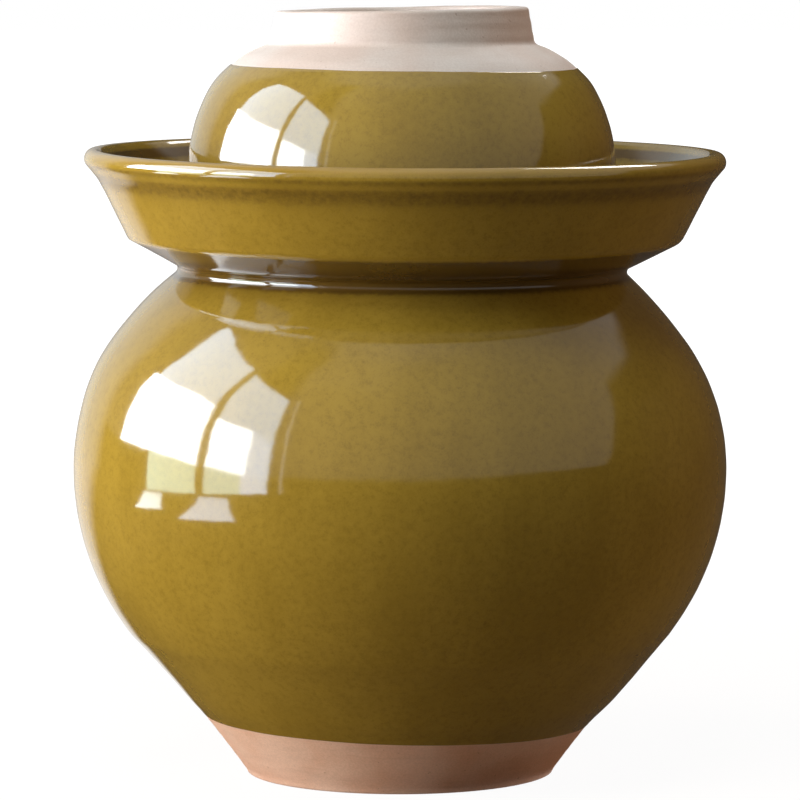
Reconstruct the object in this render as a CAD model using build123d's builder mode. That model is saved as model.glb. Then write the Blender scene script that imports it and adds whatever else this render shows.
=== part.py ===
from build123d import *
from math import atan2, cos, radians, sin, tan
import os

# Water seal pickle jar of thrown stoneware, with its inner lid and its bowl lid in place.
# Lengths are in millimetres, Z is up, and the origin is the middle of the jar's base.
# Every outline is a half section, drawn to the right of the pot's axis.

# Belly, from the ground up to the waist where the collar is luted on
base_diameter = 114.4
base_edge_height = 2.6
base_edge_taper = 0.9
cone_diameter = 198.4
cone_hollow = 1.1
belly_diameter = 239.6
shoulder_diameter = 207.8
waist_diameter = 159.2
waist_height = 186.0
waist_fillet = 2.7
jar_wall = 6.5
jar_floor = 9.0
jar_floor_fillet = 14.0

# Collar: the neck round the mouth, and the water channel round the neck
mouth_diameter = 111.0
neck_height = 33.0
neck_foot_fillet = 4.0
channel_floor_rise = 13.5
channel_foot_drop = 2.2
channel_gap = 16.2
channel_wall = 6.0
channel_depth = 29.5
channel_flare = 15.8
channel_foot_fillet = 3.0
channel_floor_fillet = 5.0
lip_diameter = 6.2
lip_outer_angle = -45.0
lip_inner_angle = 145.0

# Inner lid, a flanged disc that rests on the neck's rim
inner_lid_inset = 2.0
flange_thickness = 5.0
flange_fillet = 1.6
inner_dome_rise = 5.0
inner_dome_bulge = 1.2
skirt_clearance = 3.0
skirt_thickness = 5.0
skirt_depth = 7.0
skirt_fillet = 1.4
knob_diameter = 21.0
knob_neck_diameter = 16.0
knob_height = 11.0
knob_edge_height = 5.5
knob_fillet = 2.8

# Outer lid, a bowl turned over, whose rim stands in the channel
lid_neck_gap = 10.9
lid_wall = 6.2
lid_headroom = 6.0
foot_base_diameter = 97.4
foot_top_diameter = 93.4
foot_height = 14.3
foot_base_thickness = 10.0
foot_top_thickness = 7.5
foot_top_fillet = 1.6
foot_root_fillet = 2.0
foot_recess_fillet = 4.0

# Glaze, and the air left between pieces that rest on each other
glaze_thickness = 0.5
jar_glaze_line = 20.2
lid_glaze_drop = 7.5
seat_clearance = 0.3

# Levels of the belly's turns, as shares of the height of its waist
cone_height_share = 0.2817
belly_height_share = 0.6048
shoulder_height_share = 0.8602

# Straight part of the channel's wall, as a share of the way from its foot to its rim
wall_straight_share = 0.513

# Turns of the bowl's outline, as shares of its rim's radius and of its height over the rim
bowl_wall_share = (0.985, 0.363)
bowl_turn_share = (0.900, 0.735)

# Rounding of a plain rim, as a share of its wall
rim_round_share = 0.42

# Radii, worked outwards from the mouth through the rim of the bowl lid
base_radius = base_diameter / 2
cone_radius = cone_diameter / 2
belly_radius = belly_diameter / 2
shoulder_radius = shoulder_diameter / 2
waist_radius = waist_diameter / 2
mouth_radius = mouth_diameter / 2
neck_radius = mouth_radius + jar_wall
lid_radius = neck_radius + lid_neck_gap + lid_wall
channel_foot_radius = lid_radius + channel_gap + channel_wall
channel_rim_radius = channel_foot_radius + channel_flare
lip_radius = lip_diameter / 2
inner_lid_radius = neck_radius - inner_lid_inset
skirt_radius = mouth_radius - glaze_thickness - skirt_clearance
skirt_inner_radius = skirt_radius - skirt_thickness
knob_radius = knob_diameter / 2
knob_neck_radius = knob_neck_diameter / 2
foot_base_radius = foot_base_diameter / 2
foot_top_radius = foot_top_diameter / 2

# Levels, worked from the waist down and up, each lid from what it rests on
cone_height = waist_height * cone_height_share
belly_height = waist_height * belly_height_share
shoulder_height = waist_height * shoulder_height_share
channel_floor_height = waist_height + channel_floor_rise
channel_foot_height = channel_floor_height - channel_foot_drop
channel_rim_height = channel_floor_height + channel_depth
neck_rim_height = channel_floor_height + neck_height
inner_lid_seat = neck_rim_height + glaze_thickness + seat_clearance
skirt_bottom = inner_lid_seat - skirt_depth
flange_top = inner_lid_seat + flange_thickness
knob_root = flange_top + inner_dome_rise
knob_top = knob_root + knob_height
lid_rim_height = channel_floor_height + glaze_thickness + seat_clearance + glaze_thickness
lid_ceiling = knob_top + glaze_thickness + lid_headroom + glaze_thickness
lid_dome_top = lid_ceiling + lid_wall
lid_dome_height = lid_dome_top - lid_rim_height
lid_glaze_line = lid_dome_top - lid_glaze_drop
foot_top = lid_dome_top + foot_height

# A radius and a level past every piece, for cuts
clear_radius = belly_radius + channel_rim_radius
clear_height = foot_top + foot_height


def round_point(centre, radius, angle):
    """A point on a circle, at an angle in degrees above the outward direction."""
    return (centre[0] + radius * cos(radians(angle)), centre[1] + radius * sin(radians(angle)))


def bowl_point(share):
    """A point of the bowl's outline, from its shares of the rim's radius and of the height."""
    return (lid_radius * share[0], lid_rim_height + lid_dome_height * share[1])


def corner(section, point):
    """The corner of a section that lies nearest to a point."""
    return section.vertices().sort_by_distance(point)[0]


def zone(radius, bottom, top, mode):
    """The part of the section plane out to a radius, between two levels."""
    with Locations((radius / 2, (bottom + top) / 2)):
        Rectangle(radius, top - bottom, mode=mode)


# Points of the belly's outline
base_point = (base_radius - base_edge_taper, 0)
base_edge_point = (base_radius, base_edge_height)
cone_point = (cone_radius, cone_height)
belly_point = (belly_radius, belly_height)
shoulder_point = (shoulder_radius, shoulder_height)
waist_point = (waist_radius, waist_height)

# Points of the collar's outline: outside of the channel, its lip, its inside and the neck
channel_foot_point = (channel_foot_radius, channel_foot_height)
flare_point = (
    channel_foot_radius + channel_flare * wall_straight_share,
    channel_foot_height + (channel_rim_height - channel_foot_height) * wall_straight_share,
)
wall_lean = atan2(flare_point[0] - channel_foot_radius, flare_point[1] - channel_foot_height)
wall_direction = (sin(wall_lean), cos(wall_lean))
lip_centre = (channel_rim_radius - lip_radius, channel_rim_height - lip_radius)
lip_outer_point = round_point(lip_centre, lip_radius, lip_outer_angle)
lip_top_point = (lip_centre[0], channel_rim_height)
lip_inner_point = round_point(lip_centre, lip_radius, lip_inner_angle)
wall_inner_point = (
    flare_point[0] - channel_wall * cos(wall_lean),
    flare_point[1] + channel_wall * sin(wall_lean),
)
wall_inner_rise = wall_inner_point[1] - channel_floor_height
channel_floor_point = (wall_inner_point[0] - wall_inner_rise * tan(wall_lean), channel_floor_height)
neck_foot_point = (neck_radius, channel_floor_height)
neck_rim_point = (neck_radius, neck_rim_height)
mouth_rim_point = (mouth_radius, neck_rim_height)


def belly_outline():
    """The outside of the belly, from the axis at the ground up to the waist."""
    Polyline((0, 0), base_point, base_edge_point)
    SagittaArc(base_edge_point, cone_point, cone_hollow)
    TangentArc(belly_point, cone_point, tangent=(0, -1))
    upper_belly = TangentArc(belly_point, shoulder_point, tangent=(0, 1))
    TangentArc(shoulder_point, waist_point, tangent=upper_belly % 1)


# Hollow of the jar: belly, shoulder and neck drawn solid on both sides, then drawn in by the wall
with BuildSketch(Plane.XZ) as jar_hollow:
    with BuildLine():
        belly_outline()
        Polyline(waist_point, neck_foot_point, (neck_radius, clear_height), (0, clear_height), (0, 0))
    make_face()
    mirror(about=Plane.YZ)
    offset(amount=-jar_wall)
    zone(clear_radius, jar_floor, clear_height, Mode.INTERSECT)
    fillet(corner(jar_hollow, (base_radius, jar_floor)), jar_floor_fillet)

# Whole jar in section, with the channel and its rolled lip
with BuildSketch(Plane.XZ) as jar_section:
    with BuildLine():
        belly_outline()
        Polyline(waist_point, channel_foot_point, flare_point)
        TangentArc(flare_point, lip_outer_point, tangent=wall_direction)
        ThreePointArc(lip_outer_point, lip_top_point, lip_inner_point)
        TangentArc(wall_inner_point, lip_inner_point, tangent=wall_direction)
        Polyline(wall_inner_point, channel_floor_point, neck_foot_point, neck_rim_point)
        Polyline(neck_rim_point, (0, neck_rim_height), (0, 0))
    make_face()
    fillet(corner(jar_section, waist_point), waist_fillet)
    fillet(corner(jar_section, channel_foot_point), channel_foot_fillet)
    fillet(corner(jar_section, channel_floor_point), channel_floor_fillet)
    fillet(corner(jar_section, neck_foot_point), neck_foot_fillet)
    add(jar_hollow, mode=Mode.SUBTRACT)
    fillet(corner(jar_section, neck_rim_point), rim_round_share * jar_wall)
    fillet(corner(jar_section, mouth_rim_point), rim_round_share * jar_wall)

# Belly, thrown as one piece and cut level at the waist
with BuildPart() as jar_belly:
    with BuildSketch(Plane.XZ):
        add(jar_section)
        zone(clear_radius, 0, waist_height, Mode.INTERSECT)
    revolve(axis=Axis.Z)

# Collar, the neck and the water channel in one, luted on the belly at the waist
with BuildPart() as channel_collar:
    with BuildSketch(Plane.XZ):
        add(jar_section)
        zone(clear_radius, waist_height, clear_height, Mode.INTERSECT)
    revolve(axis=Axis.Z)

# Space inside the jar, up to the crest of the neck's rim, where the two coats of glaze meet
with BuildSketch(Plane.XZ) as jar_inside:
    add(jar_hollow)
    zone((mouth_radius + neck_radius) / 2, neck_rim_height - jar_wall, clear_height, Mode.ADD)

# Outside glaze, from the dipping line on the foot, over the channel, to the crest of the neck
with BuildPart() as jar_outer_glaze:
    with BuildSketch(Plane.XZ):
        add(jar_section)
        offset(amount=glaze_thickness)
        add(jar_section, mode=Mode.SUBTRACT)
        add(jar_inside, mode=Mode.SUBTRACT)
        zone(clear_radius, jar_glaze_line, clear_height, Mode.INTERSECT)
    revolve(axis=Axis.Z)

# Inside glaze, poured over the floor, the wall and the mouth
with BuildPart() as jar_inner_glaze:
    with BuildSketch(Plane.XZ):
        add(jar_section)
        offset(amount=glaze_thickness)
        add(jar_section, mode=Mode.SUBTRACT)
        add(jar_inside, mode=Mode.INTERSECT)
    revolve(axis=Axis.Z)

# Inner lid in section: a flange with a locating skirt below and a knob on a shallow dome
flange_corner = (inner_lid_radius, flange_top)
skirt_corner = (skirt_radius, skirt_bottom)
knob_root_point = (knob_neck_radius, knob_root)
knob_corner = (knob_radius, knob_top)
with BuildSketch(Plane.XZ) as inner_lid_section:
    with BuildLine():
        Polyline((0, inner_lid_seat), (skirt_inner_radius, inner_lid_seat), (skirt_inner_radius, skirt_bottom))
        Polyline((skirt_inner_radius, skirt_bottom), skirt_corner, (skirt_radius, inner_lid_seat))
        Polyline((skirt_radius, inner_lid_seat), (inner_lid_radius, inner_lid_seat), flange_corner)
        SagittaArc(flange_corner, knob_root_point, -inner_dome_bulge)
        Polyline(knob_root_point, (knob_radius, knob_top - knob_edge_height), knob_corner)
        Polyline(knob_corner, (0, knob_top), (0, inner_lid_seat))
    make_face()
    fillet(corner(inner_lid_section, flange_corner), flange_fillet)
    fillet(corner(inner_lid_section, skirt_corner), skirt_fillet)
    fillet(corner(inner_lid_section, knob_corner), knob_fillet)

# Inner lid, thrown and turned
with BuildPart() as inner_lid:
    with BuildSketch(Plane.XZ):
        add(inner_lid_section)
    revolve(axis=Axis.Z)

# Glaze on the inner lid's top, down to the middle of its edge, so that its underside stays bare
with BuildPart() as inner_lid_glaze:
    with BuildSketch(Plane.XZ):
        add(inner_lid_section)
        offset(amount=glaze_thickness)
        add(inner_lid_section, mode=Mode.SUBTRACT)
        zone(clear_radius, (inner_lid_seat + flange_top) / 2, clear_height, Mode.INTERSECT)
    revolve(axis=Axis.Z)

# Points of the bowl lid's outline, its rim drawn past its seat by two walls, to be cut off
wall_point = bowl_point(bowl_wall_share)
turn_point = bowl_point(bowl_turn_share)
crown_point = (foot_base_radius - foot_base_thickness / 2, lid_dome_top)
lid_rim_point = (lid_radius, lid_rim_height)
lid_inner_rim_point = (lid_radius - lid_wall, lid_rim_height)
below_rim = lid_rim_height - lid_wall - lid_wall

# Points of the foot ring, rooted in the middle of the bowl's wall
foot_root = lid_dome_top - lid_wall / 2
foot_outer_root = (foot_base_radius, foot_root)
foot_inner_root = (foot_base_radius - foot_base_thickness, foot_root)
foot_outer_corner = (foot_top_radius, foot_top)
foot_inner_corner = (foot_top_radius - foot_top_thickness, foot_top)


def bowl_outline():
    """The outside of the turned-over bowl, from below its rim to the middle of its top."""
    Polyline((0, below_rim), (lid_radius, below_rim), lid_rim_point)
    bowl_wall = Line(lid_rim_point, wall_point)
    bowl_turn = TangentArc(wall_point, turn_point, tangent=bowl_wall % 1)
    TangentArc(turn_point, crown_point, tangent=bowl_turn % 1)
    Polyline(crown_point, (0, lid_dome_top), (0, below_rim))


# Hollow of the bowl lid: the bowl drawn solid on both sides, then drawn in by the wall
with BuildSketch(Plane.XZ) as lid_hollow:
    with BuildLine():
        bowl_outline()
    make_face()
    mirror(about=Plane.YZ)
    offset(amount=-lid_wall)
    zone(clear_radius, 0, clear_height, Mode.INTERSECT)

# Bowl lid in section, with the foot ring that serves as its handle
with BuildSketch(Plane.XZ) as lid_section:
    with BuildLine():
        bowl_outline()
    make_face()
    with BuildLine():
        Polyline(foot_inner_root, foot_outer_root, foot_outer_corner, foot_inner_corner, close=True)
    make_face()
    fillet(corner(lid_section, (foot_base_radius, lid_dome_top)), foot_root_fillet)
    fillet(corner(lid_section, (foot_inner_root[0], lid_dome_top)), foot_recess_fillet)
    fillet(corner(lid_section, foot_outer_corner), foot_top_fillet)
    fillet(corner(lid_section, foot_inner_corner), foot_top_fillet)
    add(lid_hollow, mode=Mode.SUBTRACT)
    zone(clear_radius, lid_rim_height, clear_height, Mode.INTERSECT)
    fillet(corner(lid_section, lid_rim_point), rim_round_share * lid_wall)
    fillet(corner(lid_section, lid_inner_rim_point), rim_round_share * lid_wall)

# Bowl lid, thrown the right way up and cut off under its foot
with BuildPart() as outer_lid:
    with BuildSketch(Plane.XZ):
        add(lid_section)
    revolve(axis=Axis.Z)

# Space that the bowl lid's glaze reaches: all of its hollow, and outside up to the dipping line
with BuildSketch(Plane.XZ) as lid_dipped:
    add(lid_hollow)
    zone(clear_radius, below_rim, lid_glaze_line, Mode.ADD)

# Glaze of the bowl lid, inside, round the rim and up the outside, with the foot left bare
with BuildPart() as outer_lid_glaze:
    with BuildSketch(Plane.XZ):
        add(lid_section)
        offset(amount=glaze_thickness)
        add(lid_section, mode=Mode.SUBTRACT)
        add(lid_dipped, mode=Mode.INTERSECT)
    revolve(axis=Axis.Z)

# Each piece in its own file, under its own name
pieces = {
    "jar_belly": jar_belly,
    "channel_collar": channel_collar,
    "jar_outer_glaze": jar_outer_glaze,
    "jar_inner_glaze": jar_inner_glaze,
    "inner_lid": inner_lid,
    "inner_lid_glaze": inner_lid_glaze,
    "outer_lid": outer_lid,
    "outer_lid_glaze": outer_lid_glaze,
}
os.makedirs("parts", exist_ok=True)
for name, piece in pieces.items():
    piece.part.label = name
    export_step(piece.part, f"parts/{name}.step")
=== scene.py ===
from math import atan2, ceil, cos, degrees, exp, hypot, radians, sin, tan, tau

import bpy
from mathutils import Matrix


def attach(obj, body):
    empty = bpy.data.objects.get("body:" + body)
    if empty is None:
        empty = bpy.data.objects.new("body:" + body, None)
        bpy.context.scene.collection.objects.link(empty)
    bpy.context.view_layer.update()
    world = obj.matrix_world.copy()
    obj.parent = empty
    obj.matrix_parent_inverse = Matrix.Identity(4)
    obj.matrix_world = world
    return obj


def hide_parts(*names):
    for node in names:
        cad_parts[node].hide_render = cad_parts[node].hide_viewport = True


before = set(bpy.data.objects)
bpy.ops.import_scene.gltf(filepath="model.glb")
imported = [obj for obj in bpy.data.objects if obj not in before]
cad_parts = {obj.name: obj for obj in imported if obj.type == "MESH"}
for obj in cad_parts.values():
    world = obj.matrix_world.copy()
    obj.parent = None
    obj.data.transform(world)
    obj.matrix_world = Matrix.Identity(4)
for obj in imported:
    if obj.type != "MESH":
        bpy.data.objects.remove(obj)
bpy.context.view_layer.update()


# ---- Belly of the jar ----
# The belly is a pot of buff stoneware, thrown on the wheel, with its foot turned to a cone.
# It is cut level at the waist, where the collar is luted on before firing.
# The clay shows as a bare band at the foot, below the line that the glaze was dipped to.

base_radius, base_taper, base_edge = 0.0572, 0.0007, 0.0014
cone_radius, cone_height, cone_hollow = 0.0992, 0.0524, 0.0011
belly_radius, belly_height = 0.1197, 0.1125
shoulder_radius, shoulder_height = 0.1039, 0.1600
waist_radius, waist_height, waist_fillet = 0.0796, 0.1860, 0.0027
jar_wall, floor_thickness, floor_fillet, floor_inset = 0.0065, 0.0090, 0.0140, 0.0012

# Collar, drawn here because the belly and the collar share one outline
mouth_radius, neck_radius, neck_rim, rim_fillet = 0.0555, 0.0620, 0.2325, 0.0027
channel_floor, channel_floor_radius = 0.1995, 0.0957
channel_foot_radius, channel_foot = 0.1013, 0.1973
flare_radius, flare_height, wall_lean = 0.1094, 0.2136, radians(26.5)
channel_wall, foot_fillet, floor_round, neck_fillet = 0.0060, 0.0030, 0.0050, 0.0040
lip_middle, lip_height, lip_radius = 0.1140, 0.2259, 0.0031
lip_from, lip_to = radians(-45), radians(145)
crease_height, crease_depth, crease_width = 0.2192, 0.0002, 0.0018
neck_bend_walls = 2.5

# Spacing of an outline's points, the widest turn from one to the next in degrees, the turn that
# still counts as straight, and the share of a fillet's reach that is cleared of points
plain_step, edge_step, wide_step, point_turn = 0.002, 0.001, 0.006, 10
straight_turn, fillet_room = 1e-3, 1.02


def arc(start, heading, end, step):
    """The points after start on the arc that leaves start in a direction and reaches end."""
    chord = (end[0] - start[0], end[1] - start[1])
    ahead = (heading[0] / hypot(*heading), heading[1] / hypot(*heading))
    left = (-ahead[1], ahead[0])
    turn = 2 * atan2(chord[0] * left[0] + chord[1] * left[1],
                     chord[0] * ahead[0] + chord[1] * ahead[1])
    if abs(turn) < straight_turn:
        count = max(1, ceil(hypot(*chord) / step))
        return [(start[0] + chord[0] * i / count, start[1] + chord[1] * i / count)
                for i in range(1, count + 1)]
    radius = hypot(*chord) / 2 / sin(turn / 2)
    count = max(2, ceil(abs(radius * turn) / step), ceil(abs(degrees(turn)) / point_turn))
    centre = (start[0] + left[0] * radius, start[1] + left[1] * radius)
    turns = [turn * i / count for i in range(1, count)]
    return [(centre[0] + radius * (ahead[0] * sin(t) - left[0] * cos(t)),
             centre[1] + radius * (ahead[1] * sin(t) - left[1] * cos(t))) for t in turns] + [end]


def straight(path, end, step=plain_step):
    """The path, carried on in a straight line."""
    return path + arc(path[-1], (end[0] - path[-1][0], end[1] - path[-1][1]), end, step)


def curved(path, end, heading=None, step=plain_step):
    """The path, carried on by an arc that leaves it smoothly, or leaves in a stated direction."""
    smooth = (path[-1][0] - path[-2][0], path[-1][1] - path[-2][1])
    return path + arc(path[-1], heading or smooth, end, step)


def bulging(path, end, rise, step=plain_step):
    """The path, carried on by an arc that bulges, or that is hollow if its rise is negative."""
    chord = (end[0] - path[-1][0], end[1] - path[-1][1])
    angle = atan2(chord[1], chord[0]) - 2 * atan2(2 * rise, hypot(*chord))
    return path + arc(path[-1], (cos(angle), sin(angle)), end, step)


def arriving(path, end, heading, step=plain_step):
    """The path, carried on by an arc that ends in a stated direction."""
    back = arc(end, (-heading[0], -heading[1]), path[-1], step)
    return path + back[-2::-1] + [end]


def rounded(path, corner, radius):
    """The path with its corner nearest to a point rounded off."""
    near = min(range(1, len(path) - 1),
               key=lambda i: hypot(path[i][0] - corner[0], path[i][1] - corner[1]))
    tip, before, after = path[near], path[near - 1], path[near + 1]
    into = (tip[0] - before[0], tip[1] - before[1])
    out = (after[0] - tip[0], after[1] - tip[1])
    turn = abs(atan2(into[0] * out[1] - into[1] * out[0], into[0] * out[0] + into[1] * out[1]))
    reach = radius * tan(turn / 2)
    first, last = path[:near], path[near + 1:]
    while hypot(first[-1][0] - tip[0], first[-1][1] - tip[1]) < reach * fillet_room:
        first.pop()
    while hypot(last[0][0] - tip[0], last[0][1] - tip[1]) < reach * fillet_room:
        last.pop(0)
    leave = (tip[0] - into[0] / hypot(*into) * reach, tip[1] - into[1] / hypot(*into) * reach)
    join = (tip[0] + out[0] / hypot(*out) * reach, tip[1] + out[1] / hypot(*out) * reach)
    return first + [leave] + arc(leave, into, join, radius / 2) + last


def shifted(path, distance):
    """The path moved outwards by a distance or a list of them, and inwards where it is negative."""
    moved = []
    for i, (r, z) in enumerate(path):
        a, b = path[max(i - 1, 0)], path[min(i + 1, len(path) - 1)]
        span = hypot(b[0] - a[0], b[1] - a[1])
        away = distance[i] if isinstance(distance, list) else distance
        moved.append((r + (b[1] - a[1]) / span * away, z - (b[0] - a[0]) / span * away))
    return moved


def parted(path, level, axis=1):
    """The path in two, parted where it first crosses a level, or a radius on axis 0."""
    for i, (a, b) in enumerate(zip(path, path[1:])):
        if (a[axis] - level) * (b[axis] - level) < 0:
            share = (level - a[axis]) / (b[axis] - a[axis])
            point = (a[0] + (b[0] - a[0]) * share, a[1] + (b[1] - a[1]) * share)
            return path[:i + 1] + [point], [point] + path[i + 1:]


def eased(value, low, high):
    """A smooth step from 0 at a low value to 1 at a high one."""
    share = min(1, max(0, (value - low) / (high - low)))
    return share * share * (3 - 2 * share)


class Wire:
    """An output of a node in a tree. Sums and products of wires add Math nodes to the tree."""

    def __init__(self, tree, socket=None):
        self.tree = tree
        self.socket = socket

    def node(self, kind, settings={}, sockets={}, output=0):
        """A new node: its settings are made first, then each socket gets its value or its link."""
        made = self.tree.nodes.new(kind)
        for name, value in settings.items():
            setattr(made, name, value)
        for name, value in sockets.items():
            usable = [s for s in made.inputs if s.enabled]
            socket = (usable[name] if isinstance(name, int)
                      else next(s for s in usable if s.name == name))
            if isinstance(value, Wire):
                self.tree.links.new(value.socket, socket)
            else:
                socket.default_value = value
        return Wire(self.tree, made.outputs[0]).output(output)

    def output(self, name):
        """Another output of the same node, by its name or its number."""
        usable = [s for s in self.socket.node.outputs if s.enabled]
        if isinstance(name, int):
            return Wire(self.tree, usable[name])
        return Wire(self.tree, next(s for s in usable if s.name == name))

    def math(self, operation, *others):
        sockets = dict(enumerate((self, *others)))
        return self.node("ShaderNodeMath", {"operation": operation}, sockets)

    def __add__(self, other):
        return self.math("ADD", other)

    def __sub__(self, other):
        return self.math("SUBTRACT", other)

    def __rsub__(self, other):
        return self.math("MULTIPLY", -1.0).math("ADD", other)

    def __mul__(self, other):
        return self.math("MULTIPLY", other)

    def __truediv__(self, other):
        return self.math("DIVIDE", other)

    __radd__, __rmul__ = __add__, __mul__

    def step(self, low, high, start=0.0, end=1.0):
        """A smooth step of this value, from start at low to end at high."""
        return self.node("ShaderNodeMapRange", {"interpolation_type": "SMOOTHSTEP"},
                         {"Value": self, "From Min": low, "From Max": high,
                          "To Min": start, "To Max": end})

    def noise(self, place, scale, detail, seed):
        """Noise of a place, with a seed of its own."""
        return self.node("ShaderNodeTexNoise", {"noise_dimensions": "4D"},
                         {"Vector": place, "W": seed, "Scale": scale, "Detail": detail,
                          "Roughness": 0.55})

    def vector(self, x, y, z):
        return self.node("ShaderNodeCombineXYZ", {}, {"X": x, "Y": y, "Z": z})


wheel_inputs = {"Divisions": "Int", "Ring Depth": "Float", "Ring Pitch": "Float",
                "Edge Wave": "Float", "Edge Tilt": "Float", "Edge Tilt Angle": "Float",
                "Lean": "Float", "Lean From": "Float", "Lean To": "Float", "Rim Tilt": "Float",
                "Front Drop": "Float", "Fuller": "Float", "Seed": "Float", "Finish": "Material"}
shape_shares, look_shares = ("ring", "slide_out", "slide_up"), ("coat",)
merge_distance = 1e-6
broad_share = 2.4

# Where the marks of the hand fade in, as radii and heights
channel_reach, under_channel = (0.088, 0.112), (0.1985, 0.1960)
neck_reach, over_belly = (0.064, 0.078), (0.166, 0.186)
shoulder_from, shoulder_to = (0.125, 0.160), (0.196, 0.176)
cone_from, cone_to = (0.018, 0.030), (0.058, 0.034)


def wheel():
    """The potter's wheel as a node tree: it turns a section into a pot with the marks of a hand."""
    tree = bpy.data.node_groups.new("potters_wheel", "GeometryNodeTree")
    tree.interface.new_socket("Section", in_out="INPUT", socket_type="NodeSocketGeometry")
    for name, kind in wheel_inputs.items():
        tree.interface.new_socket(name, in_out="INPUT", socket_type="NodeSocket" + kind)
    tree.interface.new_socket("Pot", in_out="OUTPUT", socket_type="NodeSocketGeometry")
    section = Wire(tree, tree.nodes.new("NodeGroupInput").outputs[0])
    size = {name: section.output(name) for name in wheel_inputs}

    def field(kind, settings=None, sockets=None, output=0):
        return section.node(kind, settings or {}, sockets or {}, output)

    def share(name):
        return field("GeometryNodeInputNamedAttribute", {"data_type": "FLOAT"}, {"Name": name},
                     "Attribute")

    # A grid with a column for each division and a row for each point of the section
    points = field("GeometryNodeAttributeDomainSize", {"component": "MESH"},
                   {"Geometry": section}, "Point Count")
    pot = field("GeometryNodeMeshGrid", {},
                {"Vertices X": size["Divisions"] + 1, "Vertices Y": points}, "Mesh")
    index = field("GeometryNodeInputIndex")
    column = ((index + 0.5) / points).math("FLOOR")
    row = index - column * points

    def at_row(value, kind):
        return field("GeometryNodeSampleIndex", {"data_type": kind, "domain": "POINT"},
                     {"Geometry": section, "Value": value, "Index": row})

    drawn = at_row(field("GeometryNodeInputPosition"), "FLOAT_VECTOR")
    radius = field("ShaderNodeSeparateXYZ", {}, {"Vector": drawn})
    angle = column * tau / size["Divisions"]
    turned = section.vector(radius * angle.math("COSINE"), radius * angle.math("SINE"),
                            radius.output("Z"))
    pot = field("GeometryNodeSetPosition", {}, {"Geometry": pot, "Position": turned})
    for name in shape_shares + look_shares:
        pot = field("GeometryNodeStoreNamedAttribute", {"data_type": "FLOAT", "domain": "POINT"},
                    {"Geometry": pot, "Name": name, "Value": at_row(share(name), "FLOAT")})
    pot = field("GeometryNodeMergeByDistance", {}, {"Geometry": pot, "Distance": merge_distance})

    # The wave and tilt of an edge where the glaze was dipped or the foot cut, slid on the surface
    place = field("GeometryNodeInputPosition")
    x = field("ShaderNodeSeparateXYZ", {}, {"Vector": place})
    y, z = x.output("Y"), x.output("Z")
    around = y.math("ARCTAN2", x)
    east, north = around.math("COSINE"), around.math("SINE")
    ring = section.vector(east, north, 0.0)
    wave = section.noise(ring, scale=1.3, detail=2.5, seed=size["Seed"]) - 0.5
    tilt = (around - size["Edge Tilt Angle"]).math("COSINE") * size["Edge Tilt"]
    slide = wave * 2 * size["Edge Wave"] + tilt
    out = share("slide_out") * slide
    slid = section.vector(out * east, out * north, share("slide_up") * slide)
    pot = field("GeometryNodeSetPosition", {}, {"Geometry": pot, "Offset": slid})

    # Throwing rings, a shallow spiral that the fingers leave, uneven all over
    uneven = section.noise(place, scale=38.0, detail=1.0, seed=size["Seed"])
    broad = section.noise(place, scale=17.0, detail=0.0, seed=size["Seed"] + 7)
    spiral = (z / size["Ring Pitch"] * tau + around).math("SINE")
    rings = spiral * uneven + (broad - 0.5) * broad_share
    pushed = field("ShaderNodeVectorMath", {"operation": "SCALE"},
                   {"Vector": field("GeometryNodeInputNormal"),
                    "Scale": rings * size["Ring Depth"] * share("ring")})
    pot = field("GeometryNodeSetPosition", {}, {"Geometry": pot, "Offset": pushed})

    # The lean of the upper part, the tilt and low front of the rim, and a shoulder that is fuller
    # on the left and a cone that is fuller on the right
    upper = z.step(size["Lean From"], size["Lean To"])
    reach = (x * x + y * y).math("SQRT")
    rim = reach.step(*channel_reach).math("MAXIMUM", z.step(*under_channel))
    rim = rim * reach.step(*neck_reach) * z.step(*over_belly)
    shoulder = z.step(*shoulder_from) * z.step(*shoulder_to) * (1 - east)
    cone = z.step(*cone_from) * z.step(*cone_to) * (1 + east)
    full = (shoulder + cone) * size["Fuller"]
    rim_rise = (x * size["Rim Tilt"] + y.math("MINIMUM", 0.0) * size["Front Drop"]) * rim
    bent = section.vector(upper * size["Lean"] + full * east, full * north, rim_rise)
    pot = field("GeometryNodeSetPosition", {}, {"Geometry": pot, "Offset": bent})
    for name in shape_shares:
        pot = field("GeometryNodeRemoveAttribute", {}, {"Geometry": pot, "Name": name})
    pot = field("GeometryNodeSetShadeSmooth", {}, {"Geometry": pot})
    pot = field("GeometryNodeRealizeInstances", {}, {"Geometry": pot})
    pot = field("GeometryNodeSetMaterial", {}, {"Geometry": pot, "Material": size["Finish"]})
    tree.links.new(pot.socket, tree.nodes.new("NodeGroupOutput").inputs[0])
    return tree


potters_wheel = wheel()
plain_marks = {"Divisions": 240, "Ring Pitch": 0.006, "Lean To": 1.0}


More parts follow.
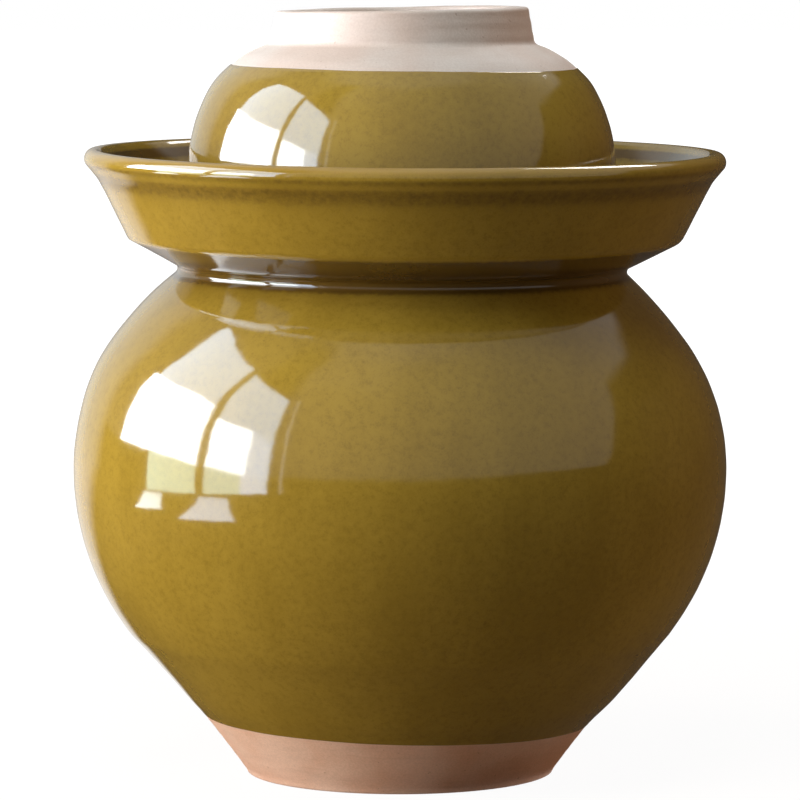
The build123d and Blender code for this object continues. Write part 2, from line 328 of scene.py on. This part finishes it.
def thrown(name, section, finish, body, slot, node, **marks):
    """Turn a piece on the wheel. Each point of its section is a radius, a height and its shares."""
    mesh = bpy.data.meshes.new(name)
    edges = [(i, i + 1) for i in range(len(section) - 1)]
    mesh.from_pydata([(radius, 0, height) for radius, height, *shares in section], edges, [])
    for place, share in enumerate(shape_shares + look_shares):
        values = [shares[place] for radius, height, *shares in section]
        mesh.attributes.new(share, "FLOAT", "POINT").data.foreach_set("value", values)
    piece = bpy.data.objects.new(name, mesh)
    bpy.context.scene.collection.objects.link(piece)
    modifier = piece.modifiers.new("wheel", "NODES")
    modifier.node_group = potters_wheel
    values = dict(plain_marks, Finish=finish)
    values.update((key.replace("_", " ").title(), value) for key, value in marks.items())
    for item in potters_wheel.interface.items_tree:
        if item.in_out == "INPUT" and item.name in wheel_inputs:
            modifier[item.identifier] = values.get(item.name, 0.0)
    evaluated = piece.evaluated_get(bpy.context.evaluated_depsgraph_get())
    turned = bpy.data.meshes.new_from_object(evaluated)
    piece.modifiers.clear()
    piece.data = turned
    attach(piece, body)
    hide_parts(node)


def shown(red, green, blue):
    """A colour as a shader takes it, from its values on a screen, by the sRGB curve."""
    return tuple(((v / 255 + 0.055) / 1.055) ** 2.4 for v in (red, green, blue)) + (1,)


def mixed(factor, first, second):
    """Two colours mixed by a wire."""
    return factor.node("ShaderNodeMix", {"data_type": "RGBA"},
                       {"Factor": factor, "A": first, "B": second})


def material(name, surface):
    """A new material, whose Principled shader takes what a function of its tree returns."""
    made = bpy.data.materials.new(name)
    made.use_nodes = True
    tree = made.node_tree
    shader = tree.nodes["Principled BSDF"]
    for socket, value in surface(Wire(tree)).items():
        if isinstance(value, Wire):
            tree.links.new(value.socket, shader.inputs[socket])
        else:
            shader.inputs[socket].default_value = value
    return made


def bare_clay(name, pale, warm, dark, seed):
    """Unglazed stoneware: sandy grain, faint turning lines, specks and blushes from the kiln."""
    def surface(start):
        place = start.node("ShaderNodeTexCoord", {}, {}, "Object")
        flat = start.node("ShaderNodeVectorMath", {"operation": "MULTIPLY"},
                          {0: place, 1: (1, 1, 9)})
        grain = start.noise(place, scale=1300, detail=3, seed=seed)
        blush = start.noise(place, scale=55, detail=4, seed=seed + 1)
        cloud = start.noise(place, scale=16, detail=2, seed=seed + 4)
        lines = start.noise(flat, scale=42, detail=2, seed=seed + 2)
        specks = start.noise(place, scale=620, detail=1, seed=seed + 3).step(0.70, 0.76)
        colour = mixed((cloud * 0.6 + blush * 0.4).step(0.38, 0.62), pale, warm)
        line_marks, grain_marks = lines.step(0.45, 0.80), grain.step(0.62, 0.40)
        for marks, share in ((line_marks, 0.16), (grain_marks, 0.14), (specks, 0.40)):
            colour = mixed(marks * share, colour, dark)
        relief = grain * 0.6 + lines * 1.0 + blush * 0.6 - specks * 0.6
        bump = start.node("ShaderNodeBump", {},
                          {"Strength": 0.45, "Distance": 0.00020, "Height": relief})
        roughness = grain * 0.12 + blush * 0.10 + 0.50
        return {"Base Color": colour, "Roughness": roughness, "Normal": bump}
    return material(name, surface)


def plain_section(path):
    """A path as a section without throwing rings or an uneven edge."""
    return [(r, z, 0.0, 0.0, 0.0, 1.0) for r, z in path]


jar_loop = straight([(0, 0)], (base_radius - base_taper, 0), wide_step)
jar_loop = straight(jar_loop, (base_radius, base_edge), step=0.0009)
jar_loop = bulging(jar_loop, (cone_radius, cone_height), -cone_hollow)
jar_loop = arriving(jar_loop, (belly_radius, belly_height), (0, 1))
jar_loop = curved(jar_loop, (shoulder_radius, shoulder_height), (0, 1))
jar_loop = curved(jar_loop, (waist_radius, waist_height))
wall_inside = [(r, z) for r, z in shifted(jar_loop, -jar_wall)
               if r > base_radius and floor_thickness < z < waist_height - jar_wall]

wall_ahead = (sin(wall_lean), cos(wall_lean))
lip_start, lip_end = ((lip_middle + lip_radius * cos(a), lip_height + lip_radius * sin(a))
                      for a in (lip_from, lip_to))
wall_foot = (flare_radius - channel_wall * wall_ahead[1],
             flare_height + channel_wall * wall_ahead[0])
jar_loop = straight(jar_loop, (channel_foot_radius, channel_foot))
jar_loop = straight(jar_loop, (flare_radius, flare_height))
jar_loop = curved(jar_loop, lip_start, wall_ahead, step=0.0006)
jar_loop = [(r - crease_depth * exp(-((z - crease_height) / crease_width) ** 2), z)
            for r, z in jar_loop]
jar_loop = curved(jar_loop, lip_end, (1, 1), step=0.0008)
jar_loop = arriving(jar_loop, wall_foot, (-wall_ahead[0], -wall_ahead[1]))
jar_loop = straight(jar_loop, (channel_floor_radius, channel_floor))
jar_loop = straight(jar_loop, (neck_radius, channel_floor))
jar_loop = straight(jar_loop, (neck_radius, neck_rim))
jar_loop = straight(jar_loop, (mouth_radius, neck_rim), edge_step)
jar_loop = straight(jar_loop, (mouth_radius, waist_height + neck_bend_walls * jar_wall))
jar_loop = curved(jar_loop, wall_inside[-1], (0, -1))
jar_loop += wall_inside[-2::-1]
floor_corner = (wall_inside[0][0] - floor_inset, floor_thickness)
jar_loop = straight(straight(jar_loop, floor_corner), (0, floor_thickness), wide_step)
for corner, fillet in (((waist_radius, waist_height), waist_fillet),
                       ((channel_foot_radius, channel_foot), foot_fillet),
                       ((channel_floor_radius, channel_floor), floor_round),
                       ((neck_radius, channel_floor), neck_fillet),
                       ((neck_radius, neck_rim), rim_fillet),
                       ((mouth_radius, neck_rim), rim_fillet),
                       (floor_corner, floor_fillet)):
    jar_loop = rounded(jar_loop, corner, fillet)

band_from, band_to = (0.001, 0.004), (0.024, 0.020)
belly_outside, above_waist = parted(jar_loop, waist_height)
collar_loop, belly_inside = parted(above_waist, waist_height)
belly_section = [(r, z, eased(z, *band_from) * eased(z, *band_to), 0, 0, 1)
                 for r, z in belly_outside]
belly_section += plain_section(straight(belly_outside[-1:], belly_inside[0])[1:] + belly_inside[1:])
foot_clay = bare_clay("foot_clay", pale=shown(226, 188, 162), warm=shown(214, 164, 132),
                      dark=shown(136, 92, 66), seed=3.0)
jar_marks = {"lean": 0.0019, "lean_from": 0.165, "lean_to": 0.199, "rim_tilt": -0.0064,
             "front_drop": 0.010, "fuller": 0.00075, "seed": 4.0}
thrown("belly", belly_section, foot_clay, "jar", "bare_clay", "jar_belly",
       ring_depth=0.00010, ring_pitch=0.0042, **jar_marks)


# ---- Collar of the jar ----
# The collar is one more thrown ring, with the neck round the mouth and the water channel round
# the neck. It is luted on the belly with slip at the waist. The glaze covers all of it.

collar_section = plain_section(straight(collar_loop, collar_loop[0]))
collar_clay = bare_clay("collar_clay", pale=shown(214, 182, 158), warm=shown(204, 160, 130),
                        dark=shown(130, 90, 66), seed=5.0)
thrown("collar", collar_section, collar_clay, "jar", "bare_clay", "channel_collar", **jar_marks)


# ---- Glaze on the outside of the jar ----
# The jar was held by its foot and dipped in an olive brown ash glaze, which fired glossy.
# It runs thin and tan on the edges, and lies dark in the hollows at the waist and under the lip:
# partly pooled glaze, partly painted shade.

glaze_thickness, glaze_bury, jar_glaze_line = 0.0005, 0.0001, 0.0202
edge_round, edge_reach, edge_lift, edge_coat = 0.0007, 0.0140, 0.4, 0.45
lift_gaps, coat_gaps, ring_gaps = (0, 0.009), (0.0003, 0.0030), (0.001, 0.006)
coat_reach, sharp_bend, deepest_coat = 0.0025, 330, 2
inner_step, inner_turn = 0.006, radians(14)
close_shares, close_room = (0.04, 0.15, 0.35, 0.65, 1), 1.5


def close_ended(path):
    """The path with close points after its start, for the rounded edge of a coat."""
    start, after = path[:2]
    span = hypot(after[0] - start[0], after[1] - start[1])
    ahead = ((after[0] - start[0]) / span, (after[1] - start[1]) / span)
    close = [(start[0] + ahead[0] * edge_round * share, start[1] + ahead[1] * edge_round * share)
             for share in close_shares]
    return [start] + close + [(r, z) for r, z in path
                              if hypot(r - start[0], z - start[1]) > edge_round * close_room]


def coated(path, first_edge, last_edge, ring=1.0, pools_and_shade=()):
    """The section of a coat of glaze on a path, with a rounded edge at the ends that have one.

    Each pool is a height, a width and how far the glaze lies deeper there, which darkens it;
    some of these pools are painted shade in hollows rather than thicker glaze.
    """
    if first_edge:
        path = close_ended(path)
    if last_edge:
        path = close_ended(path[::-1])[::-1]
    way = [0.0]
    for a, b in zip(path, path[1:]):
        way.append(way[-1] + hypot(b[0] - a[0], b[1] - a[1]))
    count = len(path)
    heads = [atan2(b[1] - a[1], b[0] - a[0]) for a, b in zip(path, path[1:])]
    heads.append(heads[-1])
    lifts, shares = [], []
    for i, distance in enumerate(way):
        a = max(j for j in range(count) if way[j] <= max(0, distance - coat_reach))
        b = min(j for j in range(count) if way[j] >= min(way[-1], distance + coat_reach))
        turn = (heads[b] - heads[a] + tau / 2) % tau - tau / 2
        bend = turn / (way[b] - way[a])
        lift, ring_share, slide, thin = glaze_thickness, ring, 0.0, 1.0
        for has_edge, gap in ((first_edge, distance), (last_edge, way[-1] - distance)):
            if has_edge:
                rounding = (1 - (1 - min(1, gap / edge_round)) ** 2) ** 0.5
                lift *= rounding * (edge_lift + (1 - edge_lift) * eased(gap, *lift_gaps))
                thin *= edge_coat + (1 - edge_coat) * eased(gap, *coat_gaps)
                ring_share *= eased(gap, *ring_gaps)
                slide = max(slide, 1 - eased(gap, 0.0, edge_reach))
        lifts.append(lift)
        head = atan2(path[min(i + 1, count - 1)][1] - path[max(i - 1, 0)][1],
                     path[min(i + 1, count - 1)][0] - path[max(i - 1, 0)][0])
        # Pools deepen the coat: partly glaze that lies deeper, partly painted shade in hollows
        pooled_and_shaded = sum(deep * exp(-((path[i][1] - height) / width) ** 2)
                     for height, width, deep in pools_and_shade)
        coat = min(deepest_coat, max(0, 1 - bend / sharp_bend + pooled_and_shaded)) * thin
        shares.append((head, ring_share, slide * cos(head), slide * sin(head), coat))
    outer = [(r, z, *share[1:]) for (r, z), share in zip(shifted(path, lifts), shares)]
    inner, last = [], None
    for i, (r, z) in enumerate(shifted(path, -glaze_bury)):
        head = shares[i][0]
        bend = 0 if last is None else abs((head - last[1] + tau / 2) % tau - tau / 2)
        if last is None or i == count - 1 or way[i] - last[0] > inner_step or bend > inner_turn:
            inner.append((r, z, 0.0, shares[i][2], shares[i][3], 1.0))
            last = (way[i], head)
    return outer + inner[::-1] + (outer[:1] if path[0][0] > 0 else [])


def olive_glaze(name, seed, light, middle, dark, thin, pool_and_shade):
    """A glossy ash glaze, clouded and finely grained, thin on edges, and dark where it pools and
    where the coat carries painted shade.
    """
    def surface(start):
        place = start.node("ShaderNodeTexCoord", {}, {}, "Object")
        runs = start.node("ShaderNodeVectorMath", {"operation": "MULTIPLY"},
                          {0: place, 1: (1, 1, 0.12)})
        coat = start.node("ShaderNodeAttribute", {"attribute_name": "coat"}, {}, "Fac")
        cloud = start.noise(place, scale=14, detail=3, seed=seed)
        streak = start.noise(runs, scale=60, detail=3, seed=seed + 1)
        mottle = start.noise(place, scale=420, detail=3, seed=seed + 2)
        fine = start.noise(place, scale=1500, detail=2, seed=seed + 3)
        ripple = start.noise(place, scale=130, detail=1, seed=seed + 5)
        specks = start.noise(place, scale=560, detail=1, seed=seed + 4).step(0.71, 0.77)
        tone = cloud * 0.8 + streak * 0.5 + mottle * 0.5 + fine * 0.3 - 0.55
        colour = mixed(tone.step(0.25, 0.75), middle, light)
        dips = (mottle + fine).step(1.0, 0.72)
        # Where the coat is deep the glaze takes its pool colour: partly its own deep colour, partly
        # painted shade
        pooled_and_shaded = (coat + (mottle - 0.5) * 0.5).step(1.02, 1.55)
        worn = (coat + (mottle - 0.5) * 0.7).step(0.50, -0.05)
        for marks, share, tint in ((dips, 0.22, dark), (specks, 0.35, dark),
                                   (pooled_and_shaded, 0.85, pool_and_shade), (worn, 0.55, thin)):
            colour = mixed(marks * share, colour, tint)
        relief = fine * 0.10 + mottle * 0.20 + ripple * 0.9
        bump = start.node("ShaderNodeBump", {},
                          {"Strength": 0.35, "Distance": 0.00010, "Height": relief})
        roughness = cloud * 0.05 + mottle * 0.04 + 0.03
        return {"Base Color": colour, "Roughness": roughness, "Normal": bump, "IOR": 1.5}
    return material(name, surface)


# The pool tint is partly the glaze's deep colour and partly painted shade for the waist and the lip
jar_tints = {"light": shown(146, 119, 43), "middle": shown(132, 106, 34),
             "dark": shown(107, 83, 26), "thin": shown(162, 128, 64), "pool_and_shade": shown(72, 50, 20)}
jar_glaze = olive_glaze("jar_glaze", seed=11.0, **jar_tints)
collar_outside, collar_inside = parted(collar_loop, (mouth_radius + neck_radius) / 2, 0)
outside_path = parted(belly_outside, jar_glaze_line)[1] + collar_outside[1:]

# Pools under the roll of the lip, in the crease below it, and in the hollow over the waist: partly
# glaze lying deeper, partly painted shade where these hollows face down or lie in shadow
pools_and_painted_shade = ((0.2250, 0.0018, 0.9), (0.2195, 0.0050, 0.22), (0.1920, 0.0052, 1.0))
outside_coat = coated(outside_path, True, False, pools_and_shade=pools_and_painted_shade)
thrown("outside_glaze", outside_coat, jar_glaze, "jar", "olive_glaze", "jar_outer_glaze",
       ring_depth=0.00004, ring_pitch=0.0110, edge_wave=0.0009, edge_tilt=0.0028,
       edge_tilt_angle=tau / 2, **jar_marks)


# ---- Glaze on the inside of the jar ----
# The same glaze was poured in and out again, over the floor, the wall and the mouth.
# It meets the outside coat on the crest of the neck's rim.

inside_path = collar_inside + belly_inside[1:]
inside_coat = coated(inside_path, False, False, ring=0.6)
thrown("inside_glaze", inside_coat, jar_glaze, "jar", "olive_glaze", "jar_inner_glaze",
       ring_depth=0.00012, ring_pitch=0.0080, **jar_marks)


# ---- Inner lid ----
# A thrown disc with a knob, which rests on the neck's rim and keeps flies and dust out of the
# brine. A skirt under its flange holds it in the mouth. Its underside is bare clay.

lid_seat, flange_top, flange_radius, flange_fillet = 0.2333, 0.2383, 0.0600, 0.0016
skirt_bottom, skirt_radius, skirt_inner, skirt_fillet = 0.2263, 0.0520, 0.0470, 0.0014
knob_root, knob_top, knob_neck, knob_radius = 0.2433, 0.2543, 0.0080, 0.0105
dome_bulge, knob_edge, knob_fillet = 0.0012, 0.0055, 0.0028

inner_loop = straight([(0, lid_seat)], (skirt_inner, lid_seat), step=0.005)
for point in ((skirt_inner, skirt_bottom), (skirt_radius, skirt_bottom),
              (skirt_radius, lid_seat), (flange_radius, lid_seat)):
    inner_loop = straight(inner_loop, point, edge_step)
inner_loop = straight(inner_loop, (flange_radius, flange_top), step=0.0008)
inner_loop = bulging(inner_loop, (knob_neck, knob_root), dome_bulge)
for point in ((knob_radius, knob_top - knob_edge), (knob_radius, knob_top), (0, knob_top)):
    inner_loop = straight(inner_loop, point, edge_step)
for corner, fillet in (((flange_radius, flange_top), flange_fillet),
                       ((skirt_radius, skirt_bottom), skirt_fillet),
                       ((knob_radius, knob_top), knob_fillet)):
    inner_loop = rounded(inner_loop, corner, fillet)
lid_marks = {"lean": jar_marks["lean"], "lean_from": -1.0, "lean_to": 0.0, "divisions": 180,
             "seed": 2.0}
inner_clay = bare_clay("inner_lid_clay", pale=shown(208, 178, 156), warm=shown(190, 148, 120),
                       dark=shown(128, 90, 66), seed=8.0)
thrown("inner_lid_body", plain_section(inner_loop), inner_clay, "inner_lid", "bare_clay",
       "inner_lid", **lid_marks)


# ---- Glaze on the inner lid ----
# The top of the inner lid was brushed with the jar's glaze, down to the middle of its edge.

flange_start = max(i for i, p in enumerate(inner_loop) if p == (flange_radius, lid_seat))
above_flange = parted(inner_loop[flange_start:], (lid_seat + flange_top) / 2)[1]
inner_glaze = olive_glaze("inner_lid_glaze_finish", seed=23.0, **jar_tints)
thrown("inner_lid_coat", coated(above_flange, True, False), inner_glaze, "inner_lid",
       "olive_glaze", "inner_lid_glaze", ring_depth=0.00008, edge_wave=0.0004, **lid_marks)


# ---- Outer lid ----
# The outer lid is a thrown bowl turned over, whose rim stands in the water of the channel.
# Its foot ring, cut a little uneven, is the handle, and was left bare like the jar's own foot.

rim_radius, lid_wall, lid_rim, lid_ceiling = 0.0791, 0.0062, 0.2008, 0.2613
wall_radius, wall_height, turn_radius, turn_height = 0.0779, 0.2250, 0.0712, 0.2498
shoulder_turn, shoulder_turn_height = 0.0660, 0.2573
crown_radius, crown_height, dome_top, lid_foot_top = 0.0487, 0.2682, 0.2675, 0.2810
foot_outer_top, foot_inner_top, foot_inner_base = 0.0461, 0.0390, 0.0388
root_fillet, recess_fillet, foot_top_fillet, lid_rim_fillet = 0.0030, 0.0040, 0.0014, 0.0026
ring_from, ring_reach, uneven_from = (0.255, 0.262), (0.030, 0.040), (0.270, 0.2805)

bowl = straight([(rim_radius, lid_rim)], (wall_radius, wall_height))
bowl = curved(bowl, (turn_radius, turn_height))
bowl = curved(bowl, (shoulder_turn, shoulder_turn_height), step=edge_step)
bowl = curved(bowl, (crown_radius, crown_height))
bowl_inside = [p for p in shifted(bowl, -lid_wall) if lid_rim < p[1] < lid_ceiling][::-1]
ceiling = straight([(0, lid_ceiling)], (bowl_inside[0][0], lid_ceiling), step=0.004)
lid_loop = straight(ceiling[:-1] + bowl_inside, (rim_radius - lid_wall, lid_rim))
lid_loop = straight(lid_loop, (rim_radius, lid_rim), edge_step) + bowl[1:]
for point in ((foot_outer_top, lid_foot_top), (foot_inner_top, lid_foot_top),
              (foot_inner_base, dome_top)):
    lid_loop = straight(lid_loop, point, edge_step)
lid_loop = straight(lid_loop, (0, dome_top), step=0.003)
for corner, fillet in (((rim_radius - lid_wall, lid_rim), lid_rim_fillet),
                       ((rim_radius, lid_rim), lid_rim_fillet),
                       ((crown_radius, crown_height), root_fillet),
                       ((foot_inner_base, dome_top), recess_fillet),
                       ((foot_outer_top, lid_foot_top), foot_top_fillet),
                       ((foot_inner_top, lid_foot_top), foot_top_fillet)):
    lid_loop = rounded(lid_loop, corner, fillet)

lid_clay = bare_clay("lid_clay", pale=shown(198, 187, 179), warm=shown(192, 172, 160),
                     dark=shown(142, 115, 99), seed=13.0)
lid_section = [(r, z, eased(z, *ring_from) * eased(r, *ring_reach), 0, eased(z, *uneven_from), 1)
               for r, z in lid_loop]
outer_marks = {"lean": 0.0007, "lean_from": -1.0, "lean_to": 0.0, "seed": 9.0}
thrown("outer_lid_body", lid_section, lid_clay, "outer_lid", "bare_clay", "outer_lid",
       ring_depth=0.00012, ring_pitch=0.0045, edge_tilt=0.0007, edge_wave=0.0005, **outer_marks)


# ---- Glaze on the outer lid ----
# The bowl was dipped rim first, as deep as its shoulder, so the glaze covers its inside as well.
# The line that it was dipped to wavers round the foot.

lid_glaze_line, inside_level = 0.2600, 0.2150
lid_inside, lid_outside = parted(lid_loop, inside_level)
lid_path = lid_inside + parted(lid_outside, lid_glaze_line)[0][1:]
lid_glaze = olive_glaze("lid_glaze", seed=31.0, light=shown(148, 122, 46),
                        middle=shown(134, 108, 38), dark=shown(108, 85, 28),
                        thin=shown(176, 140, 84), pool_and_shade=shown(80, 58, 24))
thrown("outer_lid_coat", coated(lid_path, False, True), lid_glaze, "outer_lid", "olive_glaze",
       "outer_lid_glaze", ring_depth=0.00004, ring_pitch=0.0090, edge_wave=0.0011,
       edge_tilt=-0.0012, **outer_marks)


# ---- Studio ----
# A pale floor that runs out of sight, soft lamps round the jar with the strongest on its left,
# and a camera a little above it. Only the gloss shows a window on the left, and a glowing sheet
# around the jar that is a painted reflection of a dim room, with pale painted haze behind.

def standing(name, points, faces, finish):
    """A sheet of the studio, which isn't part of the jar."""
    mesh = bpy.data.meshes.new(name)
    mesh.from_pydata(points, [], faces)
    mesh.materials.append(finish)
    sheet = bpy.data.objects.new(name, mesh)
    bpy.context.scene.collection.objects.link(sheet)
    return sheet


def seen_ray(start):
    """Whether a ray shows the background: from the camera, by a mirror image or through glass."""
    path = start.node("ShaderNodeLightPath", {}, {}, "Is Camera Ray")
    mirrored = path.math("MAXIMUM", path.output("Is Glossy Ray"))
    return mirrored.math("MAXIMUM", path.output("Is Transmission Ray"))


def surface_material(name, shader_of):
    """A new material, whose surface is the shader that a function of its tree returns."""
    made = bpy.data.materials.new(name)
    made.use_nodes = True
    made.node_tree.nodes.clear()
    end = made.node_tree.nodes.new("ShaderNodeOutputMaterial")
    shader = shader_of(Wire(made.node_tree))
    made.node_tree.links.new(shader.socket, end.inputs["Surface"])
    return made


floor_half, floor_drop = 12.0, 0.0002
left_paper, right_paper, paper_turn = shown(212, 209, 204), shown(150, 136, 124), (-0.32, -0.10)
white, glow_strength, near_share, glow_reach = (1, 1, 1, 1), 1.2, 0.80, (0.3, 1.3)


def paper(start):
    """Paper, duller on the right, with the jar's shadow near it and plain white far off."""
    place = start.node("ShaderNodeTexCoord", {}, {}, "Object")
    distance = start.node("ShaderNodeVectorMath", {"operation": "LENGTH"}, {0: place}, "Value")
    far = distance.step(*glow_reach, near_share)
    right = start.node("ShaderNodeSeparateXYZ", {}, {0: place}, "X").step(*paper_turn)
    diffuse = start.node("ShaderNodeBsdfDiffuse", {},
                         {"Color": mixed(right, left_paper, right_paper)})
    glow = start.node("ShaderNodeEmission", {}, {"Color": white, "Strength": glow_strength})
    return start.node("ShaderNodeMixShader", {}, {0: seen_ray(start) * far, 1: diffuse, 2: glow})


floor_corners = [(x * floor_half, y * floor_half, -floor_drop)
                 for x, y in ((-1, -1), (1, -1), (1, 1), (-1, 1))]
standing("floor", floor_corners, [(0, 1, 2, 3)], surface_material("floor_paper", paper))

room_light = (0.020, 0.020, 0.020, 1)
world = bpy.data.worlds.new("studio_air")
bpy.context.scene.world = world
world.use_nodes = True
air = Wire(world.node_tree)
world.node_tree.links.new(mixed(seen_ray(air), room_light, white).socket,
                          world.node_tree.nodes["Background"].inputs["Color"])

# A glowing sheet round the jar, seen only by the gloss: a painted reflection of a dim room, with
# pale painted haze
room_sheet_middle, room_sheet_inner, room_sheet_reach, room_sheet_step = 0.15, 0.058, 2.4, 4
room_sheet_lift, room_sheet_levels = 0.0006, (1.2, 3.0, 9.0)
painted_dark_reflection, painted_haze_colour, painted_haze_strength = shown(70, 62, 54), (0.88, 0.97, 1, 1), 1.05


def painted_room_reflection(start):
    """A painted reflection of a room, seen only in the gloss: it glows dark low down, on the right
    and round the window, thin in front, and is clear behind except for a band of pale painted haze.
    """
    place = start.node("ShaderNodeTexCoord", {}, {}, "Object")
    x = start.node("ShaderNodeSeparateXYZ", {}, {0: place})
    y, z = x.output("Y"), x.output("Z")
    side = x.math("ARCTAN2", y * -1)
    rise = (z - room_sheet_middle).math("ARCTAN2", (x * x + y * y).math("SQRT"))

    def fade(angle, low, high, *ends):
        return angle.step(radians(low), radians(high), *ends)

    low = fade(rise, 5.6, 4.2)
    front = fade(side, -50, -42, 1.0, 0.36) * fade(side, -60, -72, 1.0, 0.66)
    right = fade(side - rise * 0.7, 68, 73) * fade(rise, 38, 31)
    dense = low.math("MAXIMUM", front).math("MAXIMUM", right) * fade(rise, 75, 62)
    behind = fade(side, -125, -138) * fade(side, -148, -180, 1.0, 0.0)
    # Dark glow: a painted dark reflection
    dark = start.node("ShaderNodeEmission", {}, {"Color": painted_dark_reflection, "Strength": 1.0})
    clear = start.node("ShaderNodeBsdfTransparent")
    painted_room = start.node("ShaderNodeMixShader", {}, {0: dense * (1 - behind), 1: clear, 2: dark})
    # Pale glow: a painted reflection of haze
    painted_haze_glow = start.node("ShaderNodeEmission", {},
                        {"Color": painted_haze_colour, "Strength": painted_haze_strength})
    painted_haze = behind * fade(rise, -8, 2) * fade(rise, 33, 24)
    return start.node("ShaderNodeMixShader", {}, {0: painted_haze, 1: painted_room, 2: painted_haze_glow})


turns = [radians(a) for a in range(-180, 181, room_sheet_step)]
levels = [(room_sheet_inner, room_sheet_lift), (room_sheet_reach, room_sheet_lift)]
levels += [(room_sheet_reach, height) for height in room_sheet_levels]
room_sheet_points = [(sin(a) * r, -cos(a) * r, z) for r, z in levels for a in turns]
row = len(turns)
room_sheet_faces = [(k * row + i, k * row + i + 1, (k + 1) * row + i + 1, (k + 1) * row + i)
               for k in range(len(levels) - 1) for i in range(row - 1)]
# The sheet of painted reflections, which only gloss rays see
painted_room = standing("painted_room_reflection", room_sheet_points, room_sheet_faces,
                 surface_material("painted_room_reflection", painted_room_reflection))
painted_room.visible_camera = painted_room.visible_diffuse = False
painted_room.visible_shadow = painted_room.visible_transmission = False


def area_light(name, width, height, power, colour, lights, mirrored):
    """An area light that the camera doesn't see. It lights the jar, shows in its gloss, or both."""
    light = bpy.data.lights.new(name, "AREA")
    light.shape, light.size, light.size_y = "RECTANGLE", width, height
    light.energy, light.color = power, colour
    made = bpy.data.objects.new(name, light)
    bpy.context.scene.collection.objects.link(made)
    made.visible_camera = False
    made.visible_diffuse, made.visible_glossy = lights, mirrored
    return made


aim_height, face_down = 0.14, radians(180)


def lamp(name, side, height, distance, size, power, colour, mirrored=False):
    """A soft square lamp that faces the jar, and lights it or only shows in its gloss.

    Side 0 is the camera's, and 90 is on its right.
    """
    made = area_light(name, size, size, power, colour, not mirrored, mirrored)
    made.location = (sin(radians(side)) * distance, -cos(radians(side)) * distance, height)
    x, y, z = made.location
    made.rotation_euler = (atan2(hypot(x, y), z - aim_height), 0, atan2(x, -y))
    return made


lamp("key", side=-75, height=0.30, distance=1.7, size=1.0, power=45,
     colour=(1.0, 0.98, 0.96))
lamp("front_fill", side=-35, height=0.70, distance=1.7, size=1.0, power=5.4,
     colour=(1.0, 0.93, 0.88))
lamp("top_fill", side=-30, height=2.00, distance=0.9, size=1.2, power=32,
     colour=(0.93, 1.0, 1.0))
lamp("right_fill", side=108, height=0.40, distance=1.8, size=0.8, power=12,
     colour=(1.0, 0.76, 0.60))
lamp("back_fill", side=175, height=0.60, distance=1.8, size=0.8, power=8,
     colour=(1.0, 0.90, 0.80))
lamp("high_glint", side=146, height=1.29, distance=1.0, size=0.42, power=9,
     colour=(1.0, 0.98, 0.96), mirrored=True)
floor_side = -108
floor_light = lamp("floor_light", side=floor_side, height=0.004, distance=0.50, size=0.50,
                   power=4.0, colour=(1.0, 1.0, 0.98))
floor_light.rotation_euler = (face_down, 0, radians(floor_side))

window_side, window_distance, window_middle, card_lift = radians(-95), 1.05, 0.2, 0.003
toward_camera = (cos(window_side), sin(window_side))
outwards = (sin(window_side), -cos(window_side))


def mirrored_sheet(name, width, height, strength, colour):
    """An area light for the gloss alone, of a strength for each square metre and steradian."""
    power = strength * width * height * tau / 2
    return area_light(name, width, height, power, colour, False, True)


def pane(name, start, end, bottom, top, strength, colour=(1, 1, 1)):
    """A pane of the window, with its edges in window distances. Its end is nearer the camera."""
    made = mirrored_sheet(name, (end - start) * window_distance, (top - bottom) * window_distance,
                          strength, colour)
    middle = (start + end) / 2 * window_distance
    made.location = (outwards[0] * window_distance + toward_camera[0] * middle,
                     outwards[1] * window_distance + toward_camera[1] * middle,
                     window_middle + (bottom + top) / 2 * window_distance)
    made.rotation_euler = (radians(90), 0, atan2(outwards[0], -outwards[1]))


def card(name, side, near, far, width, strength, colour):
    """A pale card that lies on the floor between the window and the jar."""
    made = mirrored_sheet(name, width, far - near, strength, colour)
    middle = (near + far) / 2
    made.location = (sin(radians(side)) * middle, -cos(radians(side)) * middle, card_lift)
    made.rotation_euler = (face_down, 0, radians(side))


# Both sides of the post between the halves, the foot of the panes, and the bars across them
post_far, post_near, foot, low_bar, far_bar, near_bar = 0.425, 0.50, -0.185, 0.03, 0.47, 0.39
middle_split, low_split, sky_blue, sky_pale = 0.90, 0.85, (0.62, 0.80, 1.0), (0.85, 0.93, 1.0)
pane("far_high", -0.25, post_far, far_bar, 1.12, 11, sky_blue)
pane("far_middle", -0.30, post_far, low_bar, far_bar, 30, sky_pale)
pane("far_low", 0.016, post_far, foot, low_bar, 9, (0.72, 1.0, 0.85))
pane("near_high", post_near, 1.21, near_bar, 1.08, 11, sky_blue)
pane("near_middle", post_near, middle_split, low_bar, near_bar, 30, sky_pale)
pane("near_side", middle_split, 1.20, low_bar, near_bar, 14, (0.62, 0.78, 1.0))
pane("near_low", post_near, low_split, foot, low_bar, 9, (0.75, 1.0, 0.88))
pane("near_corner", low_split, 1.18, foot, low_bar, 13, (0.66, 0.80, 1.0))
pane("frame_line", 1.395, 1.425, foot, 1.25, 5)
card("sill_far", side=-91, near=0.62, far=1.0, width=0.15, strength=14, colour=(0.80, 0.95, 1.0))
card("sill_near", side=-64, near=0.48, far=1.0, width=0.19, strength=11, colour=(0.66, 0.80, 1.0))

lens_length, sensor_width = 230.4, 36
camera_distance, camera_height, camera_dip = 1.878, 0.3156, 5.426
camera_data = bpy.data.cameras.new("camera")
camera_data.lens, camera_data.sensor_width = lens_length, sensor_width
camera = bpy.data.objects.new("camera", camera_data)
bpy.context.scene.collection.objects.link(camera)
camera.location = (0, -camera_distance, camera_height)
camera.rotation_euler = (radians(90 - camera_dip), 0, 0)
bpy.context.scene.camera = camera
bpy.context.scene.view_settings.view_transform = "Standard"
